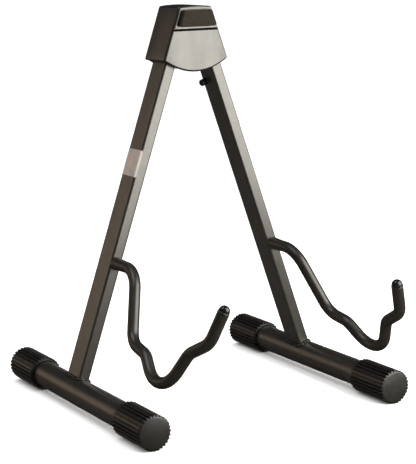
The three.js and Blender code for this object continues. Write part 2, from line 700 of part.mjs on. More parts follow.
// The button points along +X out of its wall, whose outer face is at x = 0.
function lockButton() {
  const flangeTop = -LEG_WALL - GAP;
  const flangeBottom = flangeTop - BUTTON_FLANGE_THICKNESS;
  const profile = [
    new THREE.Vector2(0, flangeBottom),
    new THREE.Vector2(BUTTON_FLANGE_RADIUS, flangeBottom),
    new THREE.Vector2(BUTTON_FLANGE_RADIUS, flangeTop),
    new THREE.Vector2(BUTTON_RADIUS, flangeTop),
    ...domePoints(BUTTON_RADIUS, BUTTON_PROUD - BUTTON_DOME, BUTTON_PROUD, DOME_STEPS),
  ];
  return new THREE.LatheGeometry(profile, DOME_SIDES).rotateZ(-Math.PI / 2);
}

// A coil spring along -X between the button's flange and the far wall of the tube.
class SpringCurve extends THREE.Curve {
  constructor(start, length) {
    super();
    this.start = start;
    this.length = length;
  }

  getPoint(t, target = new THREE.Vector3()) {
    const angle = 2 * Math.PI * SPRING_TURNS * t;
    const radius = (SPRING_DIAMETER - SPRING_WIRE) / 2;
    return target.set(this.start - this.length * t, radius * Math.cos(angle), radius * Math.sin(angle));
  }
}

function lockSpring() {
  const from = -LEG_WALL - BUTTON_FLANGE_THICKNESS - 2 * GAP - SPRING_WIRE / 2;
  const to = -LEG_THICKNESS + LEG_WALL + GAP + SPRING_WIRE / 2;
  const section = new THREE.Shape(circle(SPRING_WIRE / 2, WIRE_SIDES));
  const steps = SPRING_TURNS * SPRING_STEPS_PER_TURN;
  const extrudePath = new SpringCurve(from, from - to);
  return new THREE.ExtrudeGeometry(section, { steps, extrudePath, bevelEnabled: false });
}

// A blank label on the outer side that laps round the front corner.
function legLabel(side) {
  const face = LEG_THICKNESS / 2 + GAP;
  const front = -LEG_DEPTH / 2 - GAP;
  const back = LEG_DEPTH / 2 - LEG_CORNER_RADIUS;
  const lap = face - GAP - LABEL_FRONT_LAP;
  const outline = polygon(
    [
      [lap, front - LABEL_THICKNESS],
      [face + LABEL_THICKNESS, front - LABEL_THICKNESS],
      [face + LABEL_THICKNESS, back],
      [face, back],
      [face, front],
      [lap, front],
    ].map(([x, y]) => [side * x, y]),
  );
  const film = new THREE.ExtrudeGeometry(outline, { depth: LABEL_HEIGHT, bevelEnabled: false });
  return film.translate(0, 0, PIVOT_ALONG_LEG - LABEL_BELOW_PIVOT);
}

function buildLeg(label, side) {
  const leg = new THREE.Group();
  leg.position.set(side * FOOT_HALF_SPACING, 0, CAP_RADIUS);
  leg.rotation.y = -side * LEG_ANGLE;
  leg.add(piece(`${label}_leg_tube`, legTube(side), blackPaint()));
  leg.add(piece(`${label}_arm_rod`, armRod(), zincSteel()));
  leg.add(piece(`${label}_arm_sleeve`, armSleeve(), sleeveRubber()));

  const tip = piece(`${label}_arm_tip`, armTip(), blackPlastic());
  const curve = new ArmCurve(LEG_DEPTH / 2 + GAP);
  tip.position.copy(curve.getPoint(1));
  tip.quaternion.setFromUnitVectors(new THREE.Vector3(0, 1, 0), curve.getTangent(1));
  leg.add(tip);

  const pivot = piece(`${label}_pivot_sleeve`, pivotSleeve(), nylon());
  pivot.position.z = PIVOT_ALONG_LEG;
  leg.add(pivot);

  const lock = new THREE.Group();
  lock.position.set((-side * LEG_THICKNESS) / 2, BUTTON_BEHIND_CENTRE, BUTTON_HEIGHT);
  lock.rotation.z = side > 0 ? Math.PI : 0;
  lock.add(piece(`${label}_lock_button`, lockButton(), blackPlastic()));
  lock.add(piece(`${label}_lock_spring`, lockSpring(), springSteel()));
  leg.add(lock);

  if (side < 0) {
    leg.add(piece('leg_label', legLabel(side), labelFilm()));
  }
  return leg;
}

function buildFoot(label, side) {
  const foot = new THREE.Group();
  foot.position.set(side * FOOT_HALF_SPACING, 0, CAP_RADIUS);
  foot.add(piece(`${label}_foot_tube`, footTube(), blackPaint()));
  const rear = piece(`${label}_rear_foot_cap`, footCap(), blackRubber());
  rear.position.y = FOOT_REAR_REACH - CAP_LENGTH;
  foot.add(rear);
  const front = piece(`${label}_front_foot_cap`, footCap(), blackRubber());
  front.position.y = -FOOT_FRONT_REACH + CAP_LENGTH;
  front.rotation.z = Math.PI;
  foot.add(front);
  return foot;
}

// ---------------------------------------------------------------------------------------------------------
// Whole stand, its origin on the floor under the middle of its bounding box
// ---------------------------------------------------------------------------------------------------------

const stand = new THREE.Group();
stand.add(buildHead());
for (const [label, side] of [['left', -1], ['right', 1]]) {
  stand.add(buildLeg(label, side));
  stand.add(buildFoot(label, side));
}

const box = new THREE.Box3().setFromObject(stand, true);
const middle = box.getCenter(new THREE.Vector3());
stand.position.set(-middle.x, -middle.y, -box.min.z);

export default stand;
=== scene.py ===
# A folding A-frame guitar stand, shown on a pale studio floor.
#
# Lengths are in millimetres while a piece is drawn and are turned into metres when its mesh is made.
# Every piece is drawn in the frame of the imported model: +Z up, the front of the stand facing -Y.
import json
import math

import bmesh
import bpy
import numpy as np
from mathutils import Matrix, Vector, noise


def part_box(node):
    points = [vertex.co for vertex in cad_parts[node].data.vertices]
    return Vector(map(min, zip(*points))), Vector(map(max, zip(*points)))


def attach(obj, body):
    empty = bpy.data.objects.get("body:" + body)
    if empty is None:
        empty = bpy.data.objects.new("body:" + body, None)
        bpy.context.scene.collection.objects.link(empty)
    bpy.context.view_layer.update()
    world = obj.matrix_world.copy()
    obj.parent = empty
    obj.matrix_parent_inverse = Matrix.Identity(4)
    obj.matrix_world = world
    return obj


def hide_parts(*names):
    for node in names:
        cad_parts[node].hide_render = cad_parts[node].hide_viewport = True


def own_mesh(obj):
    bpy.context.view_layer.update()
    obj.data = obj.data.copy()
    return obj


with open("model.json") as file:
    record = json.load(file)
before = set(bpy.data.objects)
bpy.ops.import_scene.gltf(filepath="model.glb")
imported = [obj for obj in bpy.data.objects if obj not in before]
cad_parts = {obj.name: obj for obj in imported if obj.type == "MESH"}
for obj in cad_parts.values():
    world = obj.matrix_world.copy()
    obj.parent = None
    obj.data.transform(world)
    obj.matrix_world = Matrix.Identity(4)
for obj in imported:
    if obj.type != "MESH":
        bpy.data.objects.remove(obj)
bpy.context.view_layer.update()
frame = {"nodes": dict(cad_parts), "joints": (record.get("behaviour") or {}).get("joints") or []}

MM = 0.001

# --------------------------------------------------------------------------------------------------
# Sizes of the stand
# --------------------------------------------------------------------------------------------------

# Legs and foot tubes
LEG_ANGLE = math.radians(19)
LEG_THICKNESS = 12.5
LEG_DEPTH = 29
LEG_WALL = 1.2
LEG_CORNER_RADIUS = 2.0
LEG_INNER_CORNER_RADIUS = 1.2
LEG_ABOVE_PIVOT = 7
PIVOT_SLEEVE_HOLE_RADIUS = 4.8
FOOT_RADIUS = 14
FOOT_WALL = 1.2
FOOT_FRONT_REACH = 179
FOOT_REAR_REACH = 131
FOOT_END_TO_CAP_FACE = 4.3
COPE_GAP = 0.05

# Weld bead
WELD_SIZE = 2.4
WELD_CORNER_RADIUS = 2.4
WELD_RIPPLE = 0.4
WELD_RIPPLE_RATE = 1.9
WELD_UNEVENNESS = 1.1

# Foot caps
CAP_RADIUS = 18
CAP_LENGTH = 57.5
CAP_RIBS = 28
CAP_BORE = 14.3
CAP_BORE_DEPTH = 4
RIB_DEPTH = 1.8
RIB_HALF_WIDTH = 0.24
RIB_FLANK = 0.13
POINTS_PER_RIB = 12
CAP_FACE_INSET = 1.3
CAP_FACE_STEP = 0.45
CAP_FACE_DOME = 0.95

# Cradle arms, as (forward, height, bend radius) in the leg's middle plane
ARM_ROOT_HEIGHT = 139.8
ARM_BENDS = [
    (58.1, ARM_ROOT_HEIGHT, 31),
    (90.8, 70.9, 24),
    (122.1, 65.7, 20),
    (167.0, 28.3, 33.8),
    (199.0, 83.8, 20),
    (228.8, 99.8, 20),
]
ARM_END = (237.6, 132.8)
ARM_SIDES = 36
SLEEVE_RADIUS = 6
SLEEVE_END_ROUND = 0.8
SLEEVE_END_BORE = 3.8
ROOT_SWELL = 1.0
ROOT_SWELL_LENGTH = 22
TIP_RADIUS = 5.5
TIP_LENGTH = 6
TIP_DOME = 5.2

# Lock buttons and their springs
BUTTON_RADIUS = 3.65
BUTTON_CLEARANCE = 0.3
BUTTON_FLANGE_RADIUS = 4.3
BUTTON_FLANGE_FRONT = 1.5
BUTTON_FLANGE_BACK = 2.5
BUTTON_PROUD = 7.5
BUTTON_DOME = 2.9
BUTTON_BELOW_PIVOT = 41.4
BUTTON_BEHIND_CENTRE = 8.5
SPRING_DIAMETER = 6.4
SPRING_WIRE = 0.7
SPRING_TURNS = 4
SPRING_NEAR_END = 2.8
SPRING_FAR_END = 11

# Label
LABEL_HEIGHT = 28.5
LABEL_BELOW_PIVOT = 143
LABEL_LAP = 3.2
LABEL_BACK_MARGIN = 1.4
LABEL_UNDERSIDE = 0.12
LABEL_TOPSIDE = 0.42
LABEL_FOLD_HALF_WIDTH = 1.2

# Head, with heights above the pivots and depths from the legs' middle plane
HEAD_FRONT = 21.5
HEAD_INNER = 19.7
HEAD_WALL = 1.8
HEAD_SIDE = 12.4
HEAD_TOP = 39.8
HEAD_CROWN = 1.2
HEAD_CORNER = -14.8
HEAD_DROP = 12.8
HEAD_CORNER_RADIUS = 2.4
HEAD_FRONT_ROUND = 2.3
HEAD_BACK_ROUND = 0.6
GROOVE = 16.2
GROOVE_DEPTH = 1.35
GROOVE_ROOT_HALF_HEIGHT = 0.12
GROOVE_MOUTH_HALF_HEIGHT = 1.2
RIM_BOTTOM = GROOVE + 1.2
RIM_TOP = HEAD_TOP - 0.8
RIM_SIDE_INSET = 1.4
RIM_CORNER_RADIUS = 2.2
RIM_WIDTH = 2.1
RIM_PROUD = 1.0
RIM_SOFT_EDGE = 0.25
RIM_SINK = 0.4
PAD_MARGIN = 2.5
PAD_PROUD = 7
PAD_CORNER_RADIUS = 2.0
PAD_EDGE_ROUND = 1.1
PAD_CROWN = 0.45
PAD_SINK = 0.3
HUB_SCREW_HEIGHT = -1
BACK_SCREW_HEIGHT = 26
SCREW_HOLE_RADIUS = 4.1

# Camera, with angles in degrees and its distances from the middle of the stand
CAMERA_YAW = 29.97
CAMERA_PITCH = 10.61
CAMERA_ROLL = -0.99
CAMERA_LEFT = 812.0
CAMERA_IN_FRONT = 1447.5
CAMERA_HEIGHT = 481.4
CAMERA_SENSOR = 36
CAMERA_LENS = 121.763793

SMOOTH_ANGLE = 35

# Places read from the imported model
leg_low, leg_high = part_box("left_leg_tube")
MIDDLE_Y = (leg_low[1] + leg_high[1]) / 2 / MM
foot_low, foot_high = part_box("right_foot_tube")
FOOT_X = (foot_low[0] + foot_high[0]) / 2 / MM
right_hinge = next(j for j in frame["joints"] if j["name"] == "right_leg_fold")
PIVOT_X = right_hinge["pos_m"][0] / MM
PIVOT_Z = right_hinge["pos_m"][2] / MM
PIVOT_ALONG_LEG = (PIVOT_Z - CAP_RADIUS) / math.cos(LEG_ANGLE)

# --------------------------------------------------------------------------------------------------
# Meshes
# --------------------------------------------------------------------------------------------------


def new_piece(name, points, faces, place=Matrix.Identity(4), smooth_angle=SMOOTH_ANGLE):
    """A mesh object from points in millimetres, moved by place."""
    mesh = bpy.data.meshes.new(name)
    moved = [place @ Vector(p) * MM for p in points]
    mesh.from_pydata([tuple(p) for p in moved], [], faces)
    mesh.validate()
    obj = bpy.data.objects.new(name, mesh)
    bpy.context.collection.objects.link(obj)
    outward_normals(mesh)
    shade(mesh, smooth_angle)
    return obj


def outward_normals(mesh):
    """Turns every face outwards."""
    work = bmesh.new()
    work.from_mesh(mesh)
    bmesh.ops.recalc_face_normals(work, faces=work.faces)
    work.to_mesh(mesh)
    work.free()


def shade(mesh, angle):
    """Smooth shading, broken where faces meet at more than the angle in degrees."""
    mesh.polygons.foreach_set("use_smooth", [True] * len(mesh.polygons))
    mesh.set_sharp_from_angle(angle=math.radians(angle))
    mesh.update()


def loft(name, rings, ends="cap", place=Matrix.Identity(4), smooth_angle=SMOOTH_ANGLE):
    """Rings with equal numbers of points, joined one to the next.

    The ends are closed with "cap", or joined to each other with "loop".
    """
    count = len(rings[0])
    points = [tuple(p) for ring in rings for p in ring]
    faces = []
    pairs = list(zip(range(len(rings) - 1), range(1, len(rings))))
    if ends == "loop":
        pairs.append((len(rings) - 1, 0))
    for a, b in pairs:
        for i in range(count):
            j = (i + 1) % count
            faces.append((a * count + i, a * count + j, b * count + j, b * count + i))
    if ends == "cap":
        faces.append(tuple(range(count)))
        faces.append(tuple((len(rings) - 1) * count + i for i in range(count)))
    return new_piece(name, points, faces, place, smooth_angle)


def lathe_y(name, profile, sides=64, ends="cap", place=Matrix.Identity(4)):
    """A profile of (radius, y) turned about the Y axis."""
    turn = [2 * math.pi * k / sides for k in range(sides)]
    rings = [[(r * math.cos(a), y, r * math.sin(a)) for a in turn] for r, y in profile]
    return loft(name, rings, ends, place)


def rounding(radius, steps=6):
    """Points of a quarter round as (inset, depth): from flat on the face to flush with the side."""
    turns = [math.pi / 2 * k / steps for k in range(steps + 1)]
    return [(radius * (1 - math.sin(t)), radius * (1 - math.cos(t))) for t in turns]


def fillet_outline(edges, radius, steps=6):
    """A closed outline from edges, each a list of points, with its corners rounded."""
    outline = []
    for index, edge in enumerate(edges):
        before = [np.array(p, float) for p in edges[index - 1]]
        points = [np.array(p, float) for p in edge]
        corner = points[0]
        inward = before[-1] - before[-2]
        inward /= np.linalg.norm(inward)
        outward = points[1] - points[0]
        outward /= np.linalg.norm(outward)
        turn = math.atan2(inward[0] * outward[1] - inward[1] * outward[0], inward @ outward)
        reach = radius * math.tan(abs(turn) / 2)
        start = corner - inward * reach
        centre = start + np.array([-inward[1], inward[0]]) * radius * math.copysign(1, turn)
        first = math.atan2(*(start - centre)[::-1])
        for k in range(steps + 1):
            angle = first + turn * k / steps
            outline.append(centre + radius * np.array([math.cos(angle), math.sin(angle)]))
        following = edges[(index + 1) % len(edges)]
        last = np.array(following[0], float)
        clear = 1.6 * reach
        for p in points[1:-1]:
            if np.linalg.norm(p - corner) > clear and np.linalg.norm(p - last) > clear:
                outline.append(p)
    return np.array(outline)


def offset(outline, inset):
    """The outline moved inwards, for an outline that runs anticlockwise."""
    tangent = np.roll(outline, -1, 0) - np.roll(outline, 1, 0)
    tangent /= np.linalg.norm(tangent, axis=1)[:, None]
    return outline + inset * np.c_[-tangent[:, 1], tangent[:, 0]]


def plate(name, outline, y_from, y_to, front_round, back_round, steps):
    """An outline in X and Z made into a plate from one Y to another, its front and back edges rounded."""
    rings = []
    for inset, depth in rounding(front_round, steps):
        rings.append([(x, y_from + depth, z) for x, z in offset(outline, inset)])
    for inset, depth in reversed(rounding(back_round, steps)):
        rings.append([(x, y_to - depth, z) for x, z in offset(outline, inset)])
    return loft(name, rings)


def cut(obj, tool):
    """Takes the tool's solid away from the object's, and removes the tool."""
    change = obj.modifiers.new("cut", "BOOLEAN")
    change.operation = "DIFFERENCE"
    change.solver = "EXACT"
    change.object = tool
    bpy.context.view_layer.update()
    evaluated = obj.evaluated_get(bpy.context.evaluated_depsgraph_get())
    cut_mesh = bpy.data.meshes.new_from_object(evaluated)
    obj.modifiers.clear()
    obj.data = cut_mesh
    bpy.data.objects.remove(tool)
    shade(cut_mesh, SMOOTH_ANGLE)


def finish_piece(obj, body, nodes, material):
    """Gives a piece its material and says what it rides on and what it stands for."""
    obj.data.materials.clear()
    obj.data.materials.append(material)
    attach(obj, body)
    if nodes:
        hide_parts(*nodes)


# --------------------------------------------------------------------------------------------------
# Materials
# --------------------------------------------------------------------------------------------------


class Finish:
    """A Principled material with helpers for procedural detail."""

    def __init__(self, name):
        self.material = bpy.data.materials.new(name)
        self.material.use_nodes = True
        self.nodes = self.material.node_tree.nodes
        self.links = self.material.node_tree.links
        self.shader = self.nodes["Principled BSDF"]
        self.place = self.nodes.new("ShaderNodeTexCoord").outputs["Object"]

    def set(self, **values):
        for name, value in values.items():
            self.shader.inputs[name.replace("_", " ")].default_value = value
        return self

    def stretched(self, scale):
        mapping = self.nodes.new("ShaderNodeMapping")
        mapping.inputs["Scale"].default_value = scale
        self.links.new(self.place, mapping.inputs["Vector"])
        return mapping.outputs["Vector"]

    def noise(self, scale, detail=2, roughness=0.5, stretch=(1, 1, 1)):
        node = self.nodes.new("ShaderNodeTexNoise")
        node.inputs["Scale"].default_value = scale
        node.inputs["Detail"].default_value = detail
        node.inputs["Roughness"].default_value = roughness
        self.links.new(self.stretched(stretch), node.inputs["Vector"])
        return node.outputs["Fac"]

    def cells(self, scale):
        node = self.nodes.new("ShaderNodeTexVoronoi")
        node.inputs["Scale"].default_value = scale
        self.links.new(self.place, node.inputs["Vector"])
        return node.outputs["Distance"]

    def ramp(self, value, stops):
        node = self.nodes.new("ShaderNodeValToRGB")
        ramp = node.color_ramp
        while len(ramp.elements) < len(stops):
            ramp.elements.new(0.5)
        for element, (place, colour) in zip(ramp.elements, stops):
            element.position = place
            element.color = (*colour, 1)
        self.links.new(value, node.inputs["Fac"])
        return node.outputs["Color"]

    def spread(self, value, low, high, start=0.3, end=0.7):
        node = self.nodes.new("ShaderNodeMapRange")
        node.inputs["From Min"].default_value = start
        node.inputs["From Max"].default_value = end
        node.inputs["To Min"].default_value = low
        node.inputs["To Max"].default_value = high
        self.links.new(value, node.inputs["Value"])
        return node.outputs["Result"]

    def colour(self, value, low, high, start=0.3, end=0.7):
        shades = self.ramp(value, [(start, low), (end, high)])
        self.links.new(shades, self.shader.inputs["Base Color"])
        return self

    def roughness(self, value, low, high, start=0.3, end=0.7):
        level = self.spread(value, low, high, start, end)
        self.links.new(level, self.shader.inputs["Roughness"])
        return self

    def bump(self, *layers):
        """Layers of (value, height in metres), from coarse to fine."""
        before = None
        for value, height in layers:
            node = self.nodes.new("ShaderNodeBump")
            node.inputs["Distance"].default_value = height
            node.inputs["Strength"].default_value = 1
            self.links.new(value, node.inputs["Height"])
            if before is not None:
                self.links.new(before, node.inputs["Normal"])
            before = node.outputs["Normal"]
        self.links.new(before, self.shader.inputs["Normal"])
        return self


def paint():
    """Satin black powder coat with a fine orange peel and faint handling marks."""
    f = Finish("black_powder_coat")
    f.set(Specular_IOR_Level=0.95)
    f.colour(f.noise(scale=45, detail=3), (0.0075, 0.0060, 0.0045), (0.0115, 0.0092, 0.0070))
    f.roughness(f.noise(scale=120, detail=4, roughness=0.6), 0.29, 0.35)
    f.bump((f.noise(scale=900, detail=2), 0.000006), (f.noise(scale=2600, detail=1), 0.000003))
    return f.material


def moulded(name, colour, rough, grain=0.000012, shine=1.0):
    """Moulded plastic with a fine grain and slow changes in gloss."""
    f = Finish(name)
    darker = tuple(c * 0.75 for c in colour)
    f.colour(f.noise(scale=60, detail=3), darker, colour)
    f.roughness(f.noise(scale=90, detail=4, roughness=0.6), rough - 0.03, rough + 0.04)
    streaks = f.noise(scale=42, detail=2, roughness=0.5, stretch=(1, 1, 0.12))
    level = f.spread(streaks, 0.78 * shine, shine, 0.38, 0.62)
    f.links.new(level, f.shader.inputs["Specular IOR Level"])
    coarse, fine = f.noise(scale=700, detail=2), f.noise(scale=3200, detail=2)
    f.bump((streaks, grain * 6), (coarse, grain * 0.8), (fine, grain))
    return f.material


def rubber(name, colour, rough, specular):
    """Rubber with a dusty bloom and a fine moulded skin."""
    f = Finish(name)
    f.set(Specular_IOR_Level=specular)
    darker, lighter = tuple(c * 0.7 for c in colour), tuple(c * 1.3 for c in colour)
    f.colour(f.noise(scale=80, detail=4, roughness=0.6), darker, lighter)
    f.roughness(f.noise(scale=150, detail=4, roughness=0.6), rough - 0.06, rough + 0.06)
    f.bump((f.noise(scale=500, detail=3), 0.00003), (f.noise(scale=3000, detail=2), 0.00001))
    return f.material


def foam():
    """Dense foam rubber with a skin of fine closed cells."""
    f = Finish("pad_foam_rubber")
    f.set(Specular_IOR_Level=0.17)
    cells = f.noise(scale=500, detail=4, roughness=0.7)
    f.colour(cells, (0.0068, 0.0047, 0.0026), (0.0135, 0.0095, 0.0055))
    f.roughness(f.noise(scale=900, detail=3), 0.7, 0.85)
    f.bump((f.noise(scale=120, detail=3), 0.00015), (f.cells(scale=1700), 0.00008))
    return f.material


def steel(name, colour, rough):
    """Plated or drawn steel with fine streaks."""
    stretch = (1, 1, 12)
    f = Finish(name)
    f.set(Metallic=1.0)
    f.colour(f.noise(scale=200, detail=3), tuple(c * 0.8 for c in colour), colour)
    streaks = f.noise(scale=400, detail=4, roughness=0.6, stretch=stretch)
    f.roughness(streaks, rough - 0.08, rough + 0.08)
    f.bump((f.noise(scale=1500, detail=2, roughness=0.5, stretch=stretch), 0.00001))
    return f.material


def film():
    """Blank grey film, a little uneven where it was pressed on."""
    f = Finish("blank_label_film")
    f.set(Specular_IOR_Level=0.6)
    grey, warm = (0.138, 0.140, 0.142), (0.215, 0.158, 0.115)
    f.colour(f.noise(scale=70, detail=2), grey, warm, 0.36, 0.64)
    f.roughness(f.noise(scale=300, detail=3), 0.25, 0.4)
    f.bump((f.noise(scale=160, detail=3), 0.00008))
    return f.material


PAINT = paint()
PLASTIC = moulded("moulded_black_plastic", (0.0066, 0.0055, 0.0046), 0.3)
GLOSS = moulded("gloss_black_plastic", (0.004, 0.004, 0.004), 0.22, 0.000003, 0.5)
CAP_RUBBER = rubber("ribbed_black_rubber", (0.0032, 0.0028, 0.0025), 0.38, 0.75)
SLEEVE_RUBBER = rubber("sleeve_black_rubber", (0.0066, 0.0051, 0.0028), 0.40, 0.6)
FOAM = foam()
ZINC = steel("zinc_plate", (0.62, 0.63, 0.64), 0.35)
SPRING = steel("spring_wire", (0.5, 0.51, 0.52), 0.28)
NYLON = moulded("dark_nylon", (0.03, 0.03, 0.03), 0.5)
FILM = film()
# A paler film for the label's fold round the leg's front corner: a painted highlight where the film
# catches the light.
FILM_FOLD_PAINTED_HIGHLIGHT = moulded("painted_highlight_film_fold", (0.36, 0.345, 0.32), 0.35)
WELD = rubber("painted_weld", (0.006, 0.005, 0.004), 0.5, 0.4)
# Near-black, low-gloss rubber look for the faces inside the head's groove: painted shade in the recess.
GROOVE_PAINTED_SHADE = rubber("painted_shade_groove", (0.002, 0.0018, 0.0016), 0.6, 0.08)

# --------------------------------------------------------------------------------------------------
# Head
# --------------------------------------------------------------------------------------------------


def head_half(height, inset=0.0):
    """Half width of the head at a height above the pivots, its sides parallel to the open legs."""
    return PIVOT_X + (HEAD_SIDE - inset) / math.cos(LEG_ANGLE) - height * math.tan(LEG_ANGLE)


def bow(start, end, rise, steps):
    """A parabola from one point to another, its middle raised."""
    points = []
    for k in range(steps + 1):
        t = k / steps
        x = start[0] + (end[0] - start[0]) * t
        points.append((x, start[1] + (end[1] - start[1]) * t + rise * 4 * t * (1 - t)))
    return points


def straight(start, end, steps=6):
    return bow(start, end, 0, steps)


def head_outline(inset, bottom_drop, corner_radius, bottom=HEAD_CORNER):
    """The head from the front: slanting sides, a domed top and a bowed lower edge."""
    top = HEAD_TOP - inset
    half_top = head_half(top, inset)
    half_bottom = head_half(bottom, inset)
    a, b = (-half_bottom, bottom), (half_bottom, bottom)
    c, d = (half_top, top), (-half_top, top)
    bottom_steps, top_steps = 48, 16
    edges = [
        bow(a, b, -bottom_drop, bottom_steps),
        straight(b, c),
        bow(c, d, HEAD_CROWN, top_steps),
        straight(d, a),
    ]
    return fillet_outline(edges, corner_radius) + np.array([0, PIVOT_Z])


def trapezoid(bottom, top, inset, corner_radius):
    """An outline with sides parallel to the head's, between two heights above the pivots."""
    corners = [
        (-head_half(bottom, inset), bottom),
        (head_half(bottom, inset), bottom),
        (head_half(top, inset), top),
        (-head_half(top, inset), top),
    ]
    edges = [straight(corners[k], corners[(k + 1) % 4], 2) for k in range(4)]
    return fillet_outline(edges, corner_radius) + np.array([0, PIVOT_Z])


def groove_tool():
    """A long wedge that cuts the V-shaped groove across the head's front."""
    past_side, past_front, mouth_half_height = 3, 1, 2.0
    half = head_half(GROOVE) + past_side
    middle = PIVOT_Z + GROOVE
    mouth, root = -HEAD_FRONT - past_front, -HEAD_FRONT + GROOVE_DEPTH
    section = [
        (mouth, mouth_half_height),
        (root, GROOVE_ROOT_HALF_HEIGHT),
        (root, -GROOVE_ROOT_HALF_HEIGHT),
        (mouth, -mouth_half_height),
    ]
    return loft("slot", [[(x, y, middle + z) for y, z in section] for x in (-half, half)])


def groove_face(centre):
    """True for a face inside the groove, given the face's centre."""
    behind_front = -HEAD_FRONT + 0.1 < centre.y < -HEAD_FRONT + GROOVE_DEPTH + 0.05
    return behind_front and abs(centre.z - PIVOT_Z - GROOVE) < GROOVE_MOUTH_HALF_HEIGHT


def to_middle(obj):
    """Moves a piece drawn about the legs' middle plane to its place in the frame."""
    obj.data.transform(Matrix.Translation((0, MIDDLE_Y * MM, 0)))


def build_shell():
    """The hollow cover. Its front rounding stays below its corner radius."""
    outline = head_outline(0, HEAD_DROP, HEAD_CORNER_RADIUS)
    shell = plate("head_shell", outline, -HEAD_FRONT, HEAD_FRONT, HEAD_FRONT_ROUND, HEAD_BACK_ROUND, 8)
    inner_corner, inner_round, past_back = 1.2, 0.3, 4
    inside = head_outline(HEAD_WALL, 0, inner_corner, HEAD_CORNER - 2 * HEAD_DROP)
    cavity = plate("cavity", inside, -HEAD_INNER, HEAD_FRONT + past_back, inner_round, inner_round, 3)
    cut(shell, cavity)
    cut(shell, groove_tool())
    in_groove = [groove_face(face.center / MM) for face in shell.data.polygons]
    to_middle(shell)
    finish_piece(shell, "head", ["head_cover"], PLASTIC)
    # Faces inside the groove get the near-black material, which paints shade into the groove.
    shell.data.materials.append(GROOVE_PAINTED_SHADE)
    shell.data.polygons.foreach_set("material_index", [int(inside) for inside in in_groove])


def build_rim():
    """The raised frame round the rest pad."""
    rings = [(0, RIM_SINK), (0, RIM_SOFT_EDGE - RIM_PROUD)]
    for inset, depth in reversed(rounding(RIM_SOFT_EDGE, 4)):
        rings.append((inset, depth - RIM_PROUD))
    for inset, depth in rounding(RIM_SOFT_EDGE, 4):
        rings.append((RIM_WIDTH - inset, depth - RIM_PROUD))
    rings += [(RIM_WIDTH, RIM_SOFT_EDGE - RIM_PROUD), (RIM_WIDTH, RIM_SINK)]
    loops = []
    for inset, y in rings:
        bottom, top = RIM_BOTTOM + inset, RIM_TOP - inset
        outline = trapezoid(bottom, top, RIM_SIDE_INSET + inset, RIM_CORNER_RADIUS - inset)
        loops.append([(x, -HEAD_FRONT + y, z) for x, z in outline])
    rim = loft("head_rim", loops, "loop", smooth_angle=50)
    to_middle(rim)
    finish_piece(rim, "head", ["head_cover"], PLASTIC)


def build_pad():
    """The foam block in the frame, with soft edges and a slightly domed front."""
    bottom, top = RIM_BOTTOM + PAD_MARGIN, RIM_TOP - PAD_MARGIN
    outline = trapezoid(bottom, top, RIM_SIDE_INSET + PAD_MARGIN, PAD_CORNER_RADIUS)
    centre = outline.mean(0)
    front = -HEAD_FRONT - PAD_PROUD
    loops = [[(x, -HEAD_FRONT - PAD_SINK, z) for x, z in outline]]
    for side_inset, depth in reversed(rounding(PAD_EDGE_ROUND, 6)):
        loops.append([(x, front + depth, z) for x, z in offset(outline, side_inset)])
    face = offset(outline, PAD_EDGE_ROUND)
    crown_rings = 12
    for k in range(1, crown_rings + 1):
        f = 1 - k / (crown_rings + 0.5)
        crown = PAD_CROWN * (1 - f * f)
        loops.append([(x, front - crown, z) for x, z in centre + (face - centre) * f])
    pad = loft("rest_pad_foam", loops, smooth_angle=60)
    to_middle(pad)
    finish_piece(pad, "head", ["rest_pad"], FOAM)


def build_back_plate():
    """The plate that closes the shell from behind, with a softened hole for each screw."""
    clearance, shallower, corner = 0.3, 0.4, 2.2
    outline = head_outline(HEAD_WALL + clearance, HEAD_DROP - shallower, corner)
    back = plate("head_back", outline, HEAD_INNER, HEAD_FRONT, 0.2, 0.6, 6)
    mouth = SCREW_HOLE_RADIUS + 0.5
    profile = [
        (SCREW_HOLE_RADIUS, HEAD_INNER - 2),
        (SCREW_HOLE_RADIUS, HEAD_FRONT - 0.4),
        (mouth, HEAD_FRONT + 0.1),
        (mouth, HEAD_FRONT + 2),
    ]
    for height in (HUB_SCREW_HEIGHT, BACK_SCREW_HEIGHT):
        place = Matrix.Translation((0, 0, PIVOT_Z + height))
        cut(back, lathe_y("hole", profile, 48, place=place))
    to_middle(back)
    finish_piece(back, "head", ["head_back_plate"], PLASTIC)


def cross_head_screw(name, height):
    """A pan head with a cross recess, on a short length of shank."""
    under, radius, thick, soft = 19.0, 3.8, 2.2, 0.9
    shank_radius, shank_length, crown = 2.0, 6, 0.05
    recess_half_length, recess_half_width, recess_depth = 1.9, 0.35, 1.1
    profile = [(shank_radius, under - shank_length), (shank_radius, under), (radius, under)]
    for inset, depth in reversed(rounding(soft, 6)):
        profile.append((radius - inset, under + thick - depth))
    profile.append((0.01, under + thick + crown))
    screw = lathe_y(name, profile, 48, place=Matrix.Translation((0, 0, PIVOT_Z + height)))
    arm = [
        (-recess_half_length, -recess_half_width),
        (recess_half_length, -recess_half_width),
        (recess_half_length, recess_half_width),
        (-recess_half_length, recess_half_width),
    ]
    for turn in (0, math.pi / 2):
        c, s = math.cos(turn), math.sin(turn)
        outline = np.array([(x * c - z * s, x * s + z * c) for x, z in arm])
        outline += np.array([0, PIVOT_Z + height])
        cut(screw, plate("cross", outline, under + thick - recess_depth, under + thick + 1, 0.01, 0.01, 1))
    to_middle(screw)
    return screw


def build_head():
    build_shell()
    build_rim()
    build_pad()
    build_back_plate()
    for node, height in (("hub_screw", HUB_SCREW_HEIGHT), ("back_plate_screw", BACK_SCREW_HEIGHT)):
        screw = cross_head_screw(node + "_head", height)
        finish_piece(screw, "head", [node], ZINC)


# --------------------------------------------------------------------------------------------------
# Legs, feet and arms
# --------------------------------------------------------------------------------------------------


def leg_place(side):
    """The frame of a leg: +Z along it from the foot tube's axis, +X outwards on the right leg."""
    foot = Matrix.Translation((side * FOOT_X, MIDDLE_Y, CAP_RADIUS))
    return foot @ Matrix.Rotation(-side * LEG_ANGLE, 4, "Y")


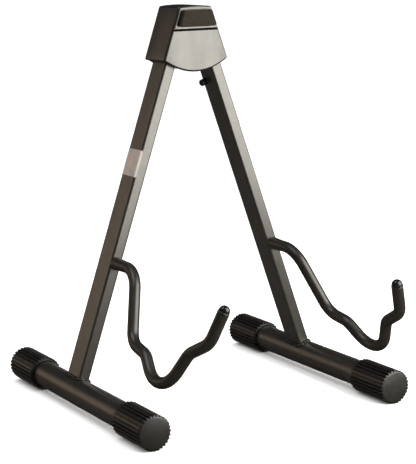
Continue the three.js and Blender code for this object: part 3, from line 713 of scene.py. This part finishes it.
def rounded_rectangle(width, depth, radius, steps=6, along=6):
    """A rectangle about the origin, with so many steps in a corner and along a side."""
    x, y = width / 2, depth / 2
    corners = [(-x, -y), (x, -y), (x, y), (-x, y)]
    edges = [straight(corners[k], corners[(k + 1) % 4], along) for k in range(4)]
    return fillet_outline(edges, radius, steps)


def cope(x):
    """Height of the leg's lower end, cut to sit on the foot tube, at a distance from its middle."""
    seat = FOOT_RADIUS + COPE_GAP
    return math.sqrt(seat * seat - x * x)


def build_leg(label, side):
    """A leg and all that rides on it."""
    place = leg_place(side)
    outer = rounded_rectangle(LEG_THICKNESS, LEG_DEPTH, LEG_CORNER_RADIUS)
    inner_size = (LEG_THICKNESS - 2 * LEG_WALL, LEG_DEPTH - 2 * LEG_WALL)
    inner = rounded_rectangle(*inner_size, LEG_INNER_CORNER_RADIUS)
    top = PIVOT_ALONG_LEG + LEG_ABOVE_PIVOT
    steps = 24
    levels = [k / steps for k in range(steps + 1)]
    rings = [[(x, y, cope(x) + (top - cope(x)) * t) for x, y in outer] for t in levels]
    rings += [[(x, y, cope(x) + (top - cope(x)) * t) for x, y in inner] for t in reversed(levels)]
    tube = loft(f"{label}_leg", rings, "loop", place, 40)

    button_z = PIVOT_ALONG_LEG - BUTTON_BELOW_PIVOT
    wall = Matrix.Translation((-side * LEG_THICKNESS / 2, BUTTON_BEHIND_CENTRE, button_z))
    hole_place = place @ wall @ Matrix.Rotation(math.pi / 2, 4, "Z")
    hole_radius, reach = BUTTON_RADIUS + BUTTON_CLEARANCE, 2 * LEG_WALL
    cut(tube, lathe_y("hole", [(hole_radius, -reach), (hole_radius, reach)], 48, place=hole_place))
    sleeve_hole = [(PIVOT_SLEEVE_HOLE_RADIUS, -LEG_DEPTH), (PIVOT_SLEEVE_HOLE_RADIUS, LEG_DEPTH)]
    pivot_place = place @ Matrix.Translation((0, 0, PIVOT_ALONG_LEG))
    cut(tube, lathe_y("sleeve_hole", sleeve_hole, 48, place=pivot_place))
    finish_piece(tube, f"{label}_leg", [f"{label}_leg_tube"], PAINT)

    build_weld(label, place)
    build_button(label, place @ wall @ Matrix.Rotation(side * math.pi / 2, 4, "Z"))
    build_arm(label, place)
    build_foot(label, side)
    if label == "left":
        build_label(place)


def build_weld(label, place):
    """An uneven painted bead round the leg where it stands on the foot tube."""
    path = offset(rounded_rectangle(LEG_THICKNESS, LEG_DEPTH, WELD_CORNER_RADIUS, 8, 24), -0.1)
    tangent = np.roll(path, -1, 0) - np.roll(path, 1, 0)
    tangent /= np.linalg.norm(tangent, axis=1)[:, None]
    grain, layer = 0.5, 5.0 if label == "left" else 9.0
    sides, flatness, lift = 14, 0.95, 0.1
    rings = []
    run = 0.0
    for index, (x, y) in enumerate(path):
        run += float(np.linalg.norm(path[index] - path[index - 1])) if index else 0.0
        ripple = WELD_RIPPLE * math.sin(run * WELD_RIPPLE_RATE)
        unevenness = WELD_UNEVENNESS * noise.noise((x * grain, y * grain, layer))
        swell = WELD_SIZE + ripple + unevenness
        out = Vector((tangent[index][1], -tangent[index][0], 0))
        bottom = Vector((x, y, cope(min(abs(x), FOOT_RADIUS - 1)) + lift))
        ring = []
        for k in range(sides):
            angle = 2 * math.pi * k / sides
            up = Vector((0, 0, swell * flatness * math.sin(angle)))
            ring.append(bottom + out * swell * math.cos(angle) + up)
        rings.append(ring)
    bead = loft(f"{label}_weld", rings, "loop", place, 60)
    finish_piece(bead, f"{label}_leg", [], WELD)


def dome(radius, base, height, top):
    """Profile points of a dome that rises from a shoulder at base to a tiny flat at top."""
    steps = 12
    turns = [math.pi / 2 * k / steps for k in range(1, steps)]
    return [(radius * math.cos(t), base + height * math.sin(t)) for t in turns] + [(0.02, top)]


def build_button(label, seat):
    """A domed button with a flange that keeps it in the tube. Its seat's +Y points out of the wall."""
    shoulder = BUTTON_PROUD - BUTTON_DOME
    profile = [
        (BUTTON_FLANGE_RADIUS, -BUTTON_FLANGE_BACK),
        (BUTTON_FLANGE_RADIUS, -BUTTON_FLANGE_FRONT),
        (BUTTON_RADIUS, -BUTTON_FLANGE_FRONT),
        (BUTTON_RADIUS, shoulder),
    ]
    profile += dome(BUTTON_RADIUS, shoulder, BUTTON_DOME, BUTTON_PROUD)
    button = lathe_y(f"{label}_button", profile, 40, place=seat)
    finish_piece(button, f"{label}_button", [f"{label}_lock_button"], GLOSS)
    build_spring(label, seat)


def build_spring(label, seat):
    """The coil between the button's flange and the tube's far wall."""
    wire = SPRING_WIRE / 2
    coil = SPRING_DIAMETER / 2 - wire
    start, end = -SPRING_NEAR_END - wire, -SPRING_FAR_END + wire
    steps, sides = 24 * SPRING_TURNS, 10
    rings = []
    for k in range(steps + 1):
        angle = 2 * math.pi * SPRING_TURNS * k / steps
        along = start + (end - start) * k / steps
        ring = []
        for j in range(sides):
            around = 2 * math.pi * j / sides
            radius = coil + wire * math.cos(around)
            y = along + wire * math.sin(around)
            ring.append((radius * math.cos(angle), y, radius * math.sin(angle)))
        rings.append(ring)
    spring = loft(f"{label}_spring", rings, "cap", seat, 60)
    finish_piece(spring, f"{label}_leg", [f"{label}_lock_spring"], SPRING)
    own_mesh(spring)


def arm_path():
    """Points of the arm's centre line in its leg's frame, as (forward, height)."""
    corners = [(LEG_DEPTH / 2 + 0.1, ARM_ROOT_HEIGHT)] + [bend[:2] for bend in ARM_BENDS] + [ARM_END]
    corners = [np.array(c, float) for c in corners]
    arc_step, longest_step = 1.2, 3
    points = [corners[0]]
    for index in range(1, len(corners) - 1):
        before, corner, after = corners[index - 1 : index + 2]
        inward = (corner - before) / np.linalg.norm(corner - before)
        outward = (after - corner) / np.linalg.norm(after - corner)
        turn = math.atan2(inward[0] * outward[1] - inward[1] * outward[0], inward @ outward)
        radius = ARM_BENDS[index - 1][2]
        start = corner - inward * radius * math.tan(abs(turn) / 2)
        centre = start + np.array([-inward[1], inward[0]]) * radius * math.copysign(1, turn)
        first = math.atan2(*(start - centre)[::-1])
        steps = max(6, int(radius * abs(turn) / arc_step))
        for k in range(steps + 1):
            angle = first + turn * k / steps
            points.append(centre + radius * np.array([math.cos(angle), math.sin(angle)]))
    points.append(corners[-1])
    dense = [points[0]]
    for point in points[1:]:
        last = dense[-1]
        parts = max(1, int(np.linalg.norm(point - last) / longest_step))
        for k in range(1, parts + 1):
            dense.append(last + (point - last) * k / parts)
    return np.array(dense)


def arm_ring(point, direction, radius):
    """A ring about the arm's centre line, square to its direction."""
    across = np.array([-direction[1], direction[0]])
    ring = []
    for k in range(ARM_SIDES):
        angle = 2 * math.pi * k / ARM_SIDES
        forward, up = point + across * radius * math.cos(angle)
        ring.append((radius * math.sin(angle), -forward, up))
    return ring


def build_arm(label, place):
    """The rubber sleeve over the bent rod, and the glossy cap on its end."""
    path = arm_path()
    heading = np.gradient(path, axis=0)
    heading /= np.linalg.norm(heading, axis=1)[:, None]
    run = np.r_[0, np.cumsum(np.linalg.norm(np.diff(path, axis=0), axis=1))]
    girth = SLEEVE_RADIUS + ROOT_SWELL * np.clip(1 - run / ROOT_SWELL_LENGTH, 0, 1) ** 1.5
    rings = [arm_ring(path[0], heading[0], SLEEVE_RADIUS - 1.6)]
    rings += [arm_ring(p, h, g) for p, h, g in zip(path[:-1], heading[:-1], girth[:-1])]
    end, direction = path[-1], heading[-1]
    for inset, depth in reversed(rounding(SLEEVE_END_ROUND, 5)):
        rings.append(arm_ring(end - direction * depth, direction, SLEEVE_RADIUS - inset))
    rings.append(arm_ring(end - direction * 0.1, direction, SLEEVE_END_BORE))
    sleeve = loft(f"{label}_arm", rings, "cap", place, 50)
    finish_piece(sleeve, f"{label}_leg", [f"{label}_arm_sleeve"], SLEEVE_RUBBER)

    shoulder = TIP_LENGTH - TIP_DOME
    profile = [(TIP_RADIUS - 0.2, 0.1), (TIP_RADIUS, 0.3), (TIP_RADIUS, shoulder)]
    profile += dome(TIP_RADIUS, shoulder, TIP_DOME, TIP_LENGTH)
    rings = [arm_ring(end + direction * y, direction, r) for r, y in profile]
    tip = loft(f"{label}_arm_cap", rings, "cap", place, 50)
    finish_piece(tip, f"{label}_leg", [f"{label}_arm_tip"], GLOSS)


def build_foot(label, side):
    """The foot tube and the ribbed cap on each of its ends."""
    centre = Matrix.Translation((side * FOOT_X, MIDDLE_Y, CAP_RADIUS))
    front = -FOOT_FRONT_REACH + FOOT_END_TO_CAP_FACE
    rear = FOOT_REAR_REACH - FOOT_END_TO_CAP_FACE
    bore = FOOT_RADIUS - FOOT_WALL
    profile = [(bore, front), (FOOT_RADIUS, front), (FOOT_RADIUS, rear), (bore, rear)]
    tube = lathe_y(f"{label}_foot", profile, 96, "loop", centre)
    finish_piece(tube, f"{label}_leg", [f"{label}_foot_tube"], PAINT)
    front_end = centre @ Matrix.Translation((0, -FOOT_FRONT_REACH + CAP_LENGTH, 0))
    front_end = front_end @ Matrix.Rotation(math.pi, 4, "Z")
    rear_end = centre @ Matrix.Translation((0, FOOT_REAR_REACH - CAP_LENGTH, 0))
    for where, place in (("front", front_end), ("rear", rear_end)):
        cap = ribbed_cap(f"{label}_{where}_cap", place)
        finish_piece(cap, f"{label}_leg", [f"{label}_{where}_foot_cap"], CAP_RUBBER)


def ribbed_cap(name, place):
    """A rubber cap along +Y with rounded ribs, its mouth at 0 and its domed face at the far end."""
    count = CAP_RIBS * POINTS_PER_RIB
    angles = np.array([-math.pi / 2 + 2 * math.pi * k / count for k in range(count)])
    phase = (np.arange(count) % POINTS_PER_RIB) / POINTS_PER_RIB
    distance = np.minimum(phase, 1 - phase)
    groove = np.clip((distance - RIB_HALF_WIDTH) / RIB_FLANK, 0, 1)
    groove = groove * groove * (3 - 2 * groove)

    def ring(y, radius, groove_depth):
        r = radius - groove * groove_depth
        return [(r[k] * math.cos(angles[k]), y, r[k] * math.sin(angles[k])) for k in range(count)]

    outer, end = CAP_RADIUS, CAP_LENGTH
    sharp, soft, rib_rings = 0.12, 0.5, 8
    # The bore, the mouth and the ribs
    rings = [ring(CAP_BORE_DEPTH, CAP_BORE, 0), ring(soft, CAP_BORE, 0), ring(0, CAP_BORE + soft, 0)]
    rings += [ring(0, outer - sharp, RIB_DEPTH), ring(sharp, outer, RIB_DEPTH)]
    rings += [ring(y, outer, RIB_DEPTH) for y in np.linspace(4, end - 3, rib_rings)]
    rings += [ring(end - 2.2, outer, RIB_DEPTH), ring(end - 1.8, outer - 0.15, RIB_DEPTH)]
    rings.append(ring(end - 1.55, outer - soft, RIB_DEPTH - 0.3))
    # The step up to the end face
    step = end - CAP_FACE_DOME - CAP_FACE_STEP
    face = outer - CAP_FACE_INSET
    rings += [ring(step - 0.1, face - 0.1, 0.1), ring(step, face - 0.2, 0.0)]
    for k in range(1, 6):
        angle = math.pi / 2 * k / 6
        radius = face - 0.2 - (1 - math.cos(angle))
        rings.append(ring(step + CAP_FACE_STEP * math.sin(angle), radius, 0))
    # The domed end face
    for f in (0.85, 0.7, 0.55, 0.4, 0.25, 0.12, 0.02):
        rings.append(ring(end - CAP_FACE_DOME * f * f, (face - 1.2) * f, 0))
    return loft(name, rings, "cap", place, 40)


def label_path():
    """Points of the film's section and their outward directions.

    It runs from the leg's front face round the corner and along the outer side.
    """
    outline = rounded_rectangle(LEG_THICKNESS, LEG_DEPTH, LEG_CORNER_RADIUS, 8, 12)
    wall = -LEG_THICKNESS / 2
    path = [p for p in outline if p[0] < wall + LABEL_LAP and p[1] < LEG_DEPTH / 2 - LABEL_BACK_MARGIN]
    path.sort(key=lambda p: p[1] if p[0] < wall + 0.01 else -LEG_DEPTH - p[0])
    path = np.array(path)
    tangent = np.gradient(path, axis=0)
    tangent /= np.linalg.norm(tangent, axis=1)[:, None]
    out = np.c_[-tangent[:, 1], tangent[:, 0]]
    if (out @ np.array([-1, 0])).sum() < 0:
        out = -out
    return path, out


def build_label(place):
    """A blank film on the left leg's outer side that laps round its front corner."""
    path, out = label_path()
    bottom = PIVOT_ALONG_LEG - LABEL_BELOW_PIVOT
    total = len(path)
    levels = 10
    corner_trim = {0: 1.0, 1: 0.3}
    points, faces = [], []
    for layer in (LABEL_UNDERSIDE, LABEL_TOPSIDE):
        for j in range(levels + 1):
            for k in range(total):
                trim = corner_trim.get(min(k, total - 1 - k), 0.0)
                z = bottom + trim + (LABEL_HEIGHT - 2 * trim) * j / levels
                x, y = path[k] + out[k] * layer
                points.append((x, y, z))
    sheet = (levels + 1) * total
    for layer in (0, 1):
        for j in range(levels):
            for k in range(total - 1):
                a = layer * sheet + j * total + k
                faces.append((a, a + 1, a + total + 1, a + total))
    rim = list(range(total)) + [j * total + total - 1 for j in range(1, levels + 1)]
    rim += [levels * total + k for k in range(total - 2, -1, -1)]
    rim += [j * total for j in range(levels - 1, 0, -1)]
    for a, b in zip(rim, rim[1:] + rim[:1]):
        faces.append((a, b, b + sheet, a + sheet))
    label = new_piece("blank_label", points, faces, place, 60)
    finish_piece(label, "left_leg", ["leg_label"], FILM)
    # Faces on the fold round the front corner get the paler film, which paints a highlight along the
    # corner.
    label.data.materials.append(FILM_FOLD_PAINTED_HIGHLIGHT)
    leg_from_frame = place.inverted()
    for face in label.data.polygons:
        middle = leg_from_frame @ (face.center / MM)
        across, back = middle.x + LEG_THICKNESS / 2, middle.y + LEG_DEPTH / 2
        on_fold = abs(across - back) < LABEL_FOLD_HALF_WIDTH and back < LEG_CORNER_RADIUS
        face.material_index = int(on_fold)


def finish_hardware():
    """Gives the hinges' hardware and the arm rods, which keep their CAD meshes, their finish."""
    for node, obj in frame["nodes"].items():
        if node.endswith(("_bolt", "_nut", "_rod")) or node == "hinge_bracket":
            finish = ZINC
        elif node.endswith(("_washer", "pivot_sleeve")) or node == "stop_block":
            finish = NYLON
        else:
            continue
        obj.data.materials.clear()
        obj.data.materials.append(finish)


# --------------------------------------------------------------------------------------------------
# Floor, lights and camera
# --------------------------------------------------------------------------------------------------


def build_floor():
    """A wide pale floor that looks dark in reflections, so that black parts stay black."""
    size = 30
    points = [(-size, -size, 0), (size, -size, 0), (size, size, 0), (-size, size, 0)]
    mesh = bpy.data.meshes.new("studio_floor")
    mesh.from_pydata(points, [], [(0, 1, 2, 3)])
    floor = bpy.data.objects.new("studio_floor", mesh)
    bpy.context.collection.objects.link(floor)
    f = Finish("studio_floor_paint")
    f.set(Roughness=0.9, Specular_IOR_Level=0.1)
    path = f.nodes.new("ShaderNodeLightPath")
    mix = f.nodes.new("ShaderNodeMix")
    mix.data_type = "RGBA"
    mix.inputs["A"].default_value = (0.93, 0.93, 0.93, 1)
    mix.inputs["B"].default_value = (0.055, 0.050, 0.044, 1)
    f.links.new(path.outputs["Is Glossy Ray"], mix.inputs["Factor"])
    f.links.new(mix.outputs["Result"], f.shader.inputs["Base Color"])
    mesh.materials.append(f.material)


def build_world():
    """An even white surround, much dimmer in reflections."""
    world = bpy.data.worlds.new("studio")
    bpy.context.scene.world = world
    world.use_nodes = True
    nodes, links = world.node_tree.nodes, world.node_tree.links
    path = nodes.new("ShaderNodeLightPath")
    strength = nodes.new("ShaderNodeMapRange")
    strength.inputs["To Min"].default_value = 1.35
    strength.inputs["To Max"].default_value = 0.035
    links.new(path.outputs["Is Glossy Ray"], strength.inputs["Value"])
    links.new(strength.outputs["Result"], nodes["Background"].inputs["Strength"])
    nodes["Background"].inputs["Color"].default_value = (1, 1, 1, 1)


def area_light(name, place, target, size, radiance, colour=(1, 1, 1), roll=0):
    """A soft box of a width and height in metres, given by the brightness of its face."""
    width, height = size
    data = bpy.data.lights.new(name, "AREA")
    data.shape = "RECTANGLE"
    data.size = width
    data.size_y = height
    data.energy = radiance * math.pi * width * height
    data.color = colour
    light = bpy.data.objects.new(name, data)
    light.location = place
    light.rotation_euler = (Vector(target) - Vector(place)).to_track_quat("-Z", "Y").to_euler()
    light.rotation_euler.rotate_axis("Z", math.radians(roll))
    light.visible_camera = False
    bpy.context.collection.objects.link(light)


def build_lights():
    area_light(
        "front_right_panel",
        place=(0.40, -0.57, 0.515),
        target=(0.05, 0.01, 0.415),
        size=(0.78, 0.9),
        radiance=7.9,
        colour=(1, 0.965, 0.87),
        roll=13,
    )
    area_light(
        "top_left_panel", place=(-0.6, 0.1, 1.6), target=(0, 0.05, 0.2), size=(1.0, 1.0), radiance=3.0
    )
    area_light(
        "back_left_panel",
        place=(-1.37, 1.85, 0.46),
        target=(0, 0, 0.3),
        size=(1.06, 0.86),
        radiance=0.86,
        colour=(1, 0.77, 0.55),
    )
    area_light(
        "back_left_upper_panel",
        place=(-1.37, 1.85, 1.12),
        target=(0, 0, 0.3),
        size=(1.06, 0.46),
        radiance=0.32,
        colour=(1, 0.8, 0.55),
    )
    area_light(
        "back_right_panel",
        place=(1.25, 2.15, 0.22),
        target=(0, 0, 0.1),
        size=(1.5, 0.5),
        radiance=0.5,
        colour=(0.86, 0.86, 1),
    )


def build_camera():
    yaw, pitch, roll = (math.radians(a) for a in (CAMERA_YAW, CAMERA_PITCH, CAMERA_ROLL))
    level = math.cos(pitch)
    ahead = Vector((math.sin(yaw) * level, math.cos(yaw) * level, -math.sin(pitch)))
    right = ahead.cross(Vector((0, 0, 1))).normalized()
    up = right.cross(ahead)
    right_rolled = right * math.cos(roll) + up * math.sin(roll)
    up_rolled = up * math.cos(roll) - right * math.sin(roll)
    data = bpy.data.cameras.new("photo_camera")
    data.sensor_width = CAMERA_SENSOR
    data.lens = CAMERA_LENS
    data.clip_end = 100
    camera = bpy.data.objects.new("photo_camera", data)
    turn = Matrix((right_rolled, up_rolled, -ahead)).transposed().to_4x4()
    place = Vector((-CAMERA_LEFT, MIDDLE_Y - CAMERA_IN_FRONT, CAMERA_HEIGHT)) * MM
    camera.matrix_world = Matrix.Translation(place) @ turn
    bpy.context.collection.objects.link(camera)
    bpy.context.scene.camera = camera
    bpy.context.scene.view_settings.view_transform = "Standard"


build_head()
build_leg("left", -1)
build_leg("right", 1)
finish_hardware()
build_floor()
build_world()
build_lights()
build_camera()
